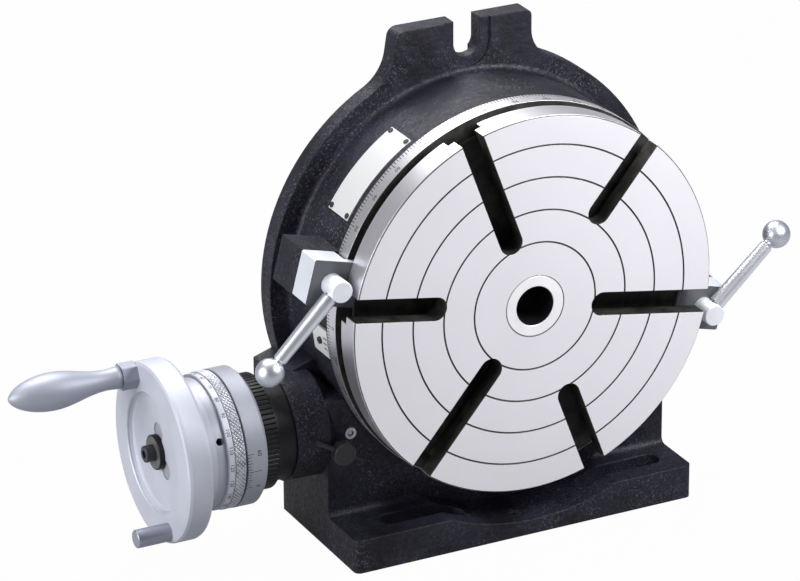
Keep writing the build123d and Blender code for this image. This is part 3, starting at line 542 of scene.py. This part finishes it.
# a node that isn't named here has the material of its slot
lookOfNode = {
    "vernier_ring": "vernier_alloy",
    "dial_ring": "dial_alloy",
    "dial_hub": "hub_alloy",
    "balance_pin": "collar_metal",
    "handle_pin": "collar_metal",
    "center_washer": "washer",
    "plate_rivets": "black_oxide",
    "index_plate": "plate_metal",
}
clampLooks = {"block": "block_steel", "nut": "nut_metal", "rod": "lever_metal", "ball": "ball_metal"}
for side in ("left", "right"):
    for part, look in clampLooks.items():
        lookOfNode[f"{side}_clamp_{part}"] = look
slotOfNode = {row["node"]: row["material_slot"] for row in frame["record"]["subparts"]}
for nodeName, node in nodes.items():
    node.data.materials.clear()
    node.data.materials.append(materials[lookOfNode.get(nodeName, slotOfNode[nodeName])])


# helpers for new pieces

def finishPiece(bm, name, body, look, smooth=False):
    mesh = bpy.data.meshes.new(name)
    bm.to_mesh(mesh)
    bm.free()
    piece = bpy.data.objects.new(name, mesh)
    scene.collection.objects.link(piece)
    mesh.materials.append(materials[look])
    for face in mesh.polygons:
        face.use_smooth = smooth
    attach(piece, body)
    return piece


def onTable(angle, radius, y):
    turn = Matrix.Rotation(-math.radians(angle), 4, "Y")
    return Matrix.Translation((0, y, tableAxisZ)) @ turn @ Matrix.Translation((radius, 0, 0))


def onWorm(angle, radius, x):
    turn = Matrix.Rotation(math.radians(angle), 4, "X")
    return Matrix.Translation((x, wormAxisY, wormAxisZ)) @ turn @ Matrix.Translation((0, radius, 0))


def addBar(bm, place, size):
    bmesh.ops.create_cube(bm, size=1, matrix=place @ Matrix.Diagonal((*size, 1)))


def addNumber(bm, words, height, thick, bend):
    curve = bpy.data.curves.new("words", "FONT")
    curve.body = words
    curve.size = height
    curve.align_x = "CENTER"
    curve.align_y = "CENTER"
    curve.extrude = thick
    curve.resolution_u = 2
    holder = bpy.data.objects.new("words", curve)
    scene.collection.objects.link(holder)
    flat = bpy.data.meshes.new_from_object(holder)
    bpy.data.objects.remove(holder)
    bpy.data.curves.remove(curve)
    for vertex in flat.vertices:
        vertex.co = bend(vertex.co)
    bm.from_mesh(flat)
    bpy.data.meshes.remove(flat)


def tickLength(number, lengths, middleEvery, longEvery):
    short, middle, long = lengths
    if number % longEvery == 0:
        return long
    return middle if number % middleEvery == 0 else short


def tableBend(radius, angle, y):
    def bend(spot):
        turned = angle + spot.x / radius
        reach = radius + spot.z
        return Vector((reach * math.cos(turned), y - spot.y, tableAxisZ + reach * math.sin(turned)))
    return bend


def wormBend(radius, angle, x):
    def bend(spot):
        turned = angle + spot.x / radius
        reach = radius + spot.z
        return Vector((x + spot.y, wormAxisY + reach * math.cos(turned),
                       wormAxisZ + reach * math.sin(turned)))
    return bend


# the revolving handle, whose end runs out in one smooth nose
gripShape = {
    "mouth": 8.6 * mm,
    "waist": (0.12, 7.8 * mm),  # share of the length, radius
    "belly": (0.61, 14.3 * mm),
    "noseFullness": 0.6,
    "tipShort": 0.05 * mm,
    "points": 40,
    "steps": 64,
    "headRoom": 6.7 * mm,
    "headLength": 5.6 * mm,
    "pinRoom": 5.05 * mm,
    "endWall": 14.0 * mm,
}


def gripRadius(share):
    shape = gripShape
    waistAt, waist = shape["waist"]
    bellyAt, belly = shape["belly"]
    if share < waistAt:
        ease = 0.5 - 0.5 * math.cos(math.pi * share / waistAt)
        return shape["mouth"] + (waist - shape["mouth"]) * ease
    if share < bellyAt:
        ease = 0.5 - 0.5 * math.cos(math.pi * (share - waistAt) / (bellyAt - waistAt))
        return waist + (belly - waist) * ease
    away = min(1, (share - bellyAt) / (1 - bellyAt))
    return belly * (1 - away * away) ** shape["noseFullness"]


def makeGrip():
    shape = gripShape
    low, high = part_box("handle_grip")
    centre = Vector((0, (low.y + high.y) / 2, (low.z + high.z) / 2))
    tip, base = low.x + shape["tipShort"], high.x
    count = shape["points"]
    shares = [math.sin(math.pi / 2 * number / count) for number in range(count + 1)]
    outline = [(base + (tip - base) * share, gripRadius(share)) for share in shares]
    # the bore, with room for the head of the pin at its end
    wall = tip + shape["endWall"]
    step = wall + shape["headLength"]
    outline += [(wall, 0), (wall, shape["headRoom"]), (step, shape["headRoom"]),
                (step, shape["pinRoom"]), (base, shape["pinRoom"]), (base, shape["mouth"])]
    bm = bmesh.new()
    corners = [bm.verts.new(centre + Vector((x, 0, radius))) for x, radius in outline]
    edges = [bm.edges.new(pair) for pair in zip(corners, corners[1:])]
    bmesh.ops.spin(bm, geom=corners + edges, cent=centre, axis=(1, 0, 0), dvec=(0, 0, 0),
                   angle=2 * math.pi, steps=shape["steps"], use_merge=True, use_duplicate=False)
    bmesh.ops.remove_doubles(bm, verts=bm.verts, dist=mergeDistance)
    bmesh.ops.recalc_face_normals(bm, faces=bm.faces)
    piece = finishPiece(bm, "grip_body", "handle", "grip_metal", smooth=True)
    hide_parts("handle_grip")


makeGrip()
print("handle made")

indexMark = {
    "angle": 186.9,
    "radius": 151.9 * mm,
    "screwY": -24.5 * mm,
    "screwRadius": 3.1 * mm,
    "screwTaper": 0.86,
    "screwRise": 1.3 * mm,
    "screwSides": 32,
    "slot": (0.06 * mm, 5.0 * mm, 0.8 * mm),  # depth, length, width
    "line": (0.1 * mm, 5.4 * mm, 0.8 * mm),
    "lineY": -33.2 * mm,
    "lineTurns": (-1.6, 0, 1.6),
}


def makeIndexMark():
    mark = indexMark
    bm = bmesh.new()
    place = onTable(mark["angle"], mark["radius"], mark["screwY"]) @ Matrix.Rotation(math.pi / 2, 4, "Y")
    bmesh.ops.create_cone(bm, cap_ends=True, segments=mark["screwSides"], radius1=mark["screwRadius"],
                          radius2=mark["screwRadius"] * mark["screwTaper"], depth=2 * mark["screwRise"],
                          matrix=place)
    finishPiece(bm, "index_screw", "base", "black_oxide")
    bm = bmesh.new()
    addBar(bm, onTable(mark["angle"], mark["radius"] + mark["screwRise"], mark["screwY"]), mark["slot"])
    for turn in mark["lineTurns"]:
        addBar(bm, onTable(mark["angle"] + turn, mark["radius"], mark["lineY"]), mark["line"])
    finishPiece(bm, "index_lines", "base", "scale_ink")


degreeScale = {
    "count": 360,
    "numberEvery": 10,
    "middleEvery": 5,
    "radius": 151.5 * mm,
    "edgeY": -38.3 * mm,
    "tick": (3.4 * mm, 4.6 * mm, 5.8 * mm),
    "width": 0.56 * mm,
    "numberY": -47.6 * mm,
    "numberHeight": 5.0 * mm,
    "zeroAngle": 180.0,
    "rise": 0.03 * mm,
}


def makeDegreeScale():
    scale = degreeScale
    bm = bmesh.new()
    for degree in range(scale["count"]):
        length = tickLength(degree, scale["tick"], scale["middleEvery"], scale["numberEvery"])
        place = onTable(scale["zeroAngle"] - degree, scale["radius"], scale["edgeY"] - length / 2)
        addBar(bm, place, (2 * scale["rise"], length, scale["width"]))
    finishPiece(bm, "degree_ticks", "table", "scale_ink")
    bm = bmesh.new()
    for degree in range(0, scale["count"], scale["numberEvery"]):
        bend = tableBend(scale["radius"], math.radians(scale["zeroAngle"] - degree), scale["numberY"])
        addNumber(bm, str(degree), scale["numberHeight"], scale["rise"], bend)
    finishPiece(bm, "degree_numbers", "table", "scale_ink")


minuteDial = {
    "count": 240,
    "numberEvery": 10,
    "radius": 51.7 * mm,
    "numberX": -236.3 * mm,
    "numberHeight": 4.3 * mm,
    "edgeX": -239.3 * mm,
    "tick": (0.9 * mm, 1.5 * mm),
    "width": 0.30 * mm,
    "rise": 0.03 * mm,
}


def makeMinuteDial():
    dial = minuteDial
    minuteTurn = 360 / dial["count"]
    short, long = dial["tick"]
    bm = bmesh.new()
    for minute in range(dial["count"]):
        length = long if minute % dial["numberEvery"] == 0 else short
        place = onWorm(minute * minuteTurn, dial["radius"], dial["edgeX"] + length / 2)
        addBar(bm, place, (length, 2 * dial["rise"], dial["width"]))
    finishPiece(bm, "dial_ticks", "dial", "scale_ink")
    bm = bmesh.new()
    for minute in range(0, dial["count"], dial["numberEvery"]):
        bend = wormBend(dial["radius"], math.radians(minute * minuteTurn), dial["numberX"])
        addNumber(bm, str(minute), dial["numberHeight"], dial["rise"], bend)
    finishPiece(bm, "dial_numbers", "dial", "scale_ink")


knurlShape = {
    "x": (-233.9 * mm, -225.1 * mm),
    "radius": 52.0 * mm,
    "height": 0.63 * mm,
    "sunkEdge": 0.2 * mm,
    "around": 96,
    "across": 3,
    "fine": 4,  # grid cells round the ring in each ridge, with twice as many along it
}


def makeKnurl():
    # two sets of slanted ridges on a fine grid, highest where both meet in a small pyramid
    shape = knurlShape
    fromX, toX = shape["x"]
    around, across = shape["around"] * shape["fine"], shape["across"] * shape["fine"] * 2
    bm = bmesh.new()
    bmesh.ops.create_grid(bm, x_segments=across, y_segments=around, size=0.5)
    for vertex in bm.verts:
        along, turned = vertex.co.x + 0.5, vertex.co.y + 0.5
        column, row = turned * shape["around"], along * shape["across"]
        first = 1 - abs((column + row) % 1 * 2 - 1)
        second = 1 - abs((column - row) % 1 * 2 - 1)
        onEdge = min(along, 1 - along) < 0.5 / across
        reach = shape["radius"] + (-shape["sunkEdge"] if onEdge else shape["height"] * min(first, second))
        turn = turned * 2 * math.pi
        vertex.co = Vector((fromX + along * (toX - fromX), wormAxisY + reach * math.cos(turn),
                            wormAxisZ + reach * math.sin(turn)))
    bmesh.ops.remove_doubles(bm, verts=bm.verts, dist=mergeDistance)
    bmesh.ops.recalc_face_normals(bm, faces=bm.faces)
    finishPiece(bm, "dial_knurl", "dial", "knurl")


vernierScale = {
    "radius": 52.8 * mm,
    "edgeX": -224.3 * mm,
    "tick": (3.2 * mm, 4.2 * mm, 5.0 * mm),
    "width": 0.42 * mm,
    "rise": 0.03 * mm,
    "middle": 187.0,
    "step": 2.6,
    "reach": 6,  # ticks on each side of the middle
    "middleEvery": 3,
    "numbers": {-6: "60", 6: "0"},
    "numberX": -214.6 * mm,
    "numberHeight": 4.8 * mm,
    "longMarkX": -215.8 * mm,
    "longMarkLength": 5.6 * mm,
}


def makeVernier():
    scale = vernierScale
    radius, thick = scale["radius"], 2 * scale["rise"]
    bm = bmesh.new()
    for away in range(-scale["reach"], scale["reach"] + 1):
        length = tickLength(away, scale["tick"], scale["middleEvery"], scale["reach"])
        place = onWorm(scale["middle"] + away * scale["step"], radius, scale["edgeX"] + length / 2)
        addBar(bm, place, (length, thick, scale["width"]))
    longMark = (scale["longMarkLength"], thick, scale["width"])
    addBar(bm, onWorm(scale["middle"], radius, scale["longMarkX"]), longMark)
    finishPiece(bm, "vernier_ticks", "sleeve", "scale_ink")
    bm = bmesh.new()
    for away, words in scale["numbers"].items():
        bend = wormBend(radius, math.radians(scale["middle"] + away * scale["step"]), scale["numberX"])
        addNumber(bm, words, scale["numberHeight"], scale["rise"], bend)
    finishPiece(bm, "vernier_numbers", "sleeve", "scale_ink")


makeIndexMark()
makeDegreeScale()
makeMinuteDial()
makeKnurl()
makeVernier()
print("scales made")


stageLook = {
    "size": 9.0,
    "color": (0.26, 0.26, 0.27),
    "roughness": 0.9,
    "glow": 0.98,
    "glossGlow": 0.22,
    "ambient": 0.19,
    "ambientTint": (0.86, 0.88, 0.92),
}


def mixShaders(tree, share, first, second, output):
    mix = addNode(tree, "ShaderNodeMixShader")
    tree.links.new(share, mix.inputs[0])
    tree.links.new(first.outputs[0], mix.inputs[1])
    tree.links.new(second.outputs[0], mix.inputs[2])
    tree.links.new(mix.outputs[0], tree.nodes[output].inputs["Surface"])


def makeFloor():
    bm = bmesh.new()
    bmesh.ops.create_grid(bm, x_segments=2, y_segments=2, size=stageLook["size"])
    mesh = bpy.data.meshes.new("floor")
    bm.to_mesh(mesh)
    bm.free()
    floor = bpy.data.objects.new("floor", mesh)
    scene.collection.objects.link(floor)
    mat, tree, shader = newMaterial("paleFloor")
    shader.inputs["Base Color"].default_value = (*stageLook["color"], 1)
    shader.inputs["Roughness"].default_value = stageLook["roughness"]
    glow = addNode(tree, "ShaderNodeEmission")
    glow.inputs["Strength"].default_value = 1.0
    path = addNode(tree, "ShaderNodeLightPath")
    direct = times(tree, path.outputs["Is Camera Ray"], stageLook["glow"])
    mirrored = times(tree, path.outputs["Is Glossy Ray"], stageLook["glossGlow"])
    mixShaders(tree, mathNode(tree, "MAXIMUM", direct, mirrored), shader, glow, "Material Output")
    mesh.materials.append(mat)


def makeWorld():
    world = bpy.data.worlds.new("studio")
    scene.world = world
    world.use_nodes = True
    tree = world.node_tree
    ambient = tree.nodes["Background"]
    ambient.inputs["Color"].default_value = (*stageLook["ambientTint"], 1)
    ambient.inputs["Strength"].default_value = stageLook["ambient"]
    white = addNode(tree, "ShaderNodeBackground")
    white.inputs["Color"].default_value = (1, 1, 1, 1)
    white.inputs["Strength"].default_value = 1.0
    path = addNode(tree, "ShaderNodeLightPath")
    seen = mathNode(tree, "MAXIMUM", path.outputs["Is Camera Ray"], path.outputs["Is Transmission Ray"])
    mixShaders(tree, seen, ambient, white, "World Output")


lampAim = (-0.05, 0, 0.18)
lampSet = {
    "left": {"place": (-2.1, -0.2, 0.8), "size": 1.4, "power": 45},
    "top": {"place": (0.0, 1.0, 2.1), "size": 1.6, "power": 66},
    "near": {"place": (0.36, -0.46, 0.66), "size": 0.4, "power": 6.8},
}


def makeLamps():
    for name, values in lampSet.items():
        lamp = bpy.data.lights.new(name, "AREA")
        lamp.shape = "DISK"
        lamp.size = values["size"]
        lamp.energy = values["power"]
        holder = bpy.data.objects.new(name, lamp)
        scene.collection.objects.link(holder)
        holder.location = values["place"]
        holder.visible_camera = False
        toAim = Vector(lampAim) - Vector(values["place"])
        holder.rotation_euler = toAim.to_track_quat("-Z", "Y").to_euler()


cameraSet = {
    "place": (-1.48519, -2.82422, 1.55277),
    "right": (0.89067, -0.45462, -0.00451),
    "up": (0.18582, 0.35495, 0.91623),
    "back": (-0.41494, -0.81690, 0.40062),
    "lens": 206.46,
    "sensor": 36,
    "shift": (-0.03195, 0.01727),
    "farthest": 50,
}


def makeCamera():
    lens = bpy.data.cameras.new("camera")
    lens.lens = cameraSet["lens"]
    lens.sensor_width = cameraSet["sensor"]
    lens.shift_x, lens.shift_y = cameraSet["shift"]
    lens.clip_end = cameraSet["farthest"]
    camera = bpy.data.objects.new("camera", lens)
    scene.collection.objects.link(camera)
    turn = Matrix((cameraSet["right"], cameraSet["up"], cameraSet["back"])).transposed().to_4x4()
    camera.matrix_world = Matrix.Translation(cameraSet["place"]) @ turn
    scene.camera = camera


makeFloor()
makeWorld()
makeLamps()
makeCamera()
scene.view_settings.view_transform = "Standard"
print("stage and camera ready")
